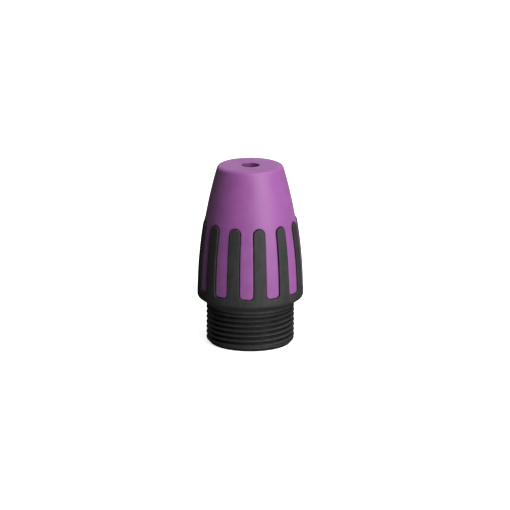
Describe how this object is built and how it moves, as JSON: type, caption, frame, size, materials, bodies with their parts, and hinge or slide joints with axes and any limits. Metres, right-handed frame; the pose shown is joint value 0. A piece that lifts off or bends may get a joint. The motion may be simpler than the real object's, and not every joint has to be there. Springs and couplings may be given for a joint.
{
  "type": "cable connector bushing with boot",
  "caption": "Threaded rear bushing of a round audio cable connector, with a soft ribbed boot and a clamping chuck that grips the cable.",
  "frame": {"origin": "centre of the threaded mouth's flat rim, on the axis, where the part stands", "axes": "+Z along the axis from the threaded mouth to the boot's nose; -Y runs through the middle of one rib"},
  "size_m": [0.0204, 0.0204, 0.035],
  "materials": {
    "hard_plastic": "fine satin moulding, black",
    "soft_boot": "matte violet elastomer with faint upright streaks",
    "chuck_plastic": "dull dark grey moulding"
  },
  "bodies": {
    "bushing": {"threaded_bushing": "hard_plastic", "soft_boot": "soft_boot"},
    "chuck": {"chuck_ring": "chuck_plastic"},
    "jaw_1": {"chuck_jaw_1": "chuck_plastic"},
    "jaw_2": {"chuck_jaw_2": "chuck_plastic"},
    "jaw_3": {"chuck_jaw_3": "chuck_plastic"},
    "jaw_4": {"chuck_jaw_4": "chuck_plastic"},
    "jaw_5": {"chuck_jaw_5": "chuck_plastic"},
    "jaw_6": {"chuck_jaw_6": "chuck_plastic"}
  },
  "joints": [
    {"name": "chuck_slide", "type": "slide", "parent": "bushing", "child": "chuck", "axis": [0, 0, 1], "range_m": [0, 0.005]},
    {"name": "jaw_1_hinge", "type": "hinge", "parent": "chuck", "child": "jaw_1", "pos_m": [0, -0.00605, 0.0028], "axis": [-1, 0, 0], "range_deg": [0, 15.3]},
    {"name": "jaw_2_hinge", "type": "hinge", "parent": "chuck", "child": "jaw_2", "pos_m": [0.00524, -0.00302, 0.0028], "axis": [-0.5, -0.866, 0], "range_deg": [0, 15.3]},
    {"name": "jaw_3_hinge", "type": "hinge", "parent": "chuck", "child": "jaw_3", "pos_m": [0.00524, 0.00302, 0.0028], "axis": [0.5, -0.866, 0], "range_deg": [0, 15.3]},
    {"name": "jaw_4_hinge", "type": "hinge", "parent": "chuck", "child": "jaw_4", "pos_m": [0, 0.00605, 0.0028], "axis": [1, 0, 0], "range_deg": [0, 15.3]},
    {"name": "jaw_5_hinge", "type": "hinge", "parent": "chuck", "child": "jaw_5", "pos_m": [-0.00524, 0.00302, 0.0028], "axis": [0.5, 0.866, 0], "range_deg": [0, 15.3]},
    {"name": "jaw_6_hinge", "type": "hinge", "parent": "chuck", "child": "jaw_6", "pos_m": [-0.00524, -0.00302, 0.0028], "axis": [-0.5, 0.866, 0], "range_deg": [0, 15.3]}
  ],
  "couplings": [
    {"joint": "jaw_1_hinge", "follows": "chuck_slide", "rad_per_m": 53},
    {"joint": "jaw_2_hinge", "follows": "chuck_slide", "rad_per_m": 53},
    {"joint": "jaw_3_hinge", "follows": "chuck_slide", "rad_per_m": 53},
    {"joint": "jaw_4_hinge", "follows": "chuck_slide", "rad_per_m": 53},
    {"joint": "jaw_5_hinge", "follows": "chuck_slide", "rad_per_m": 53},
    {"joint": "jaw_6_hinge", "follows": "chuck_slide", "rad_per_m": 53}
  ]
}
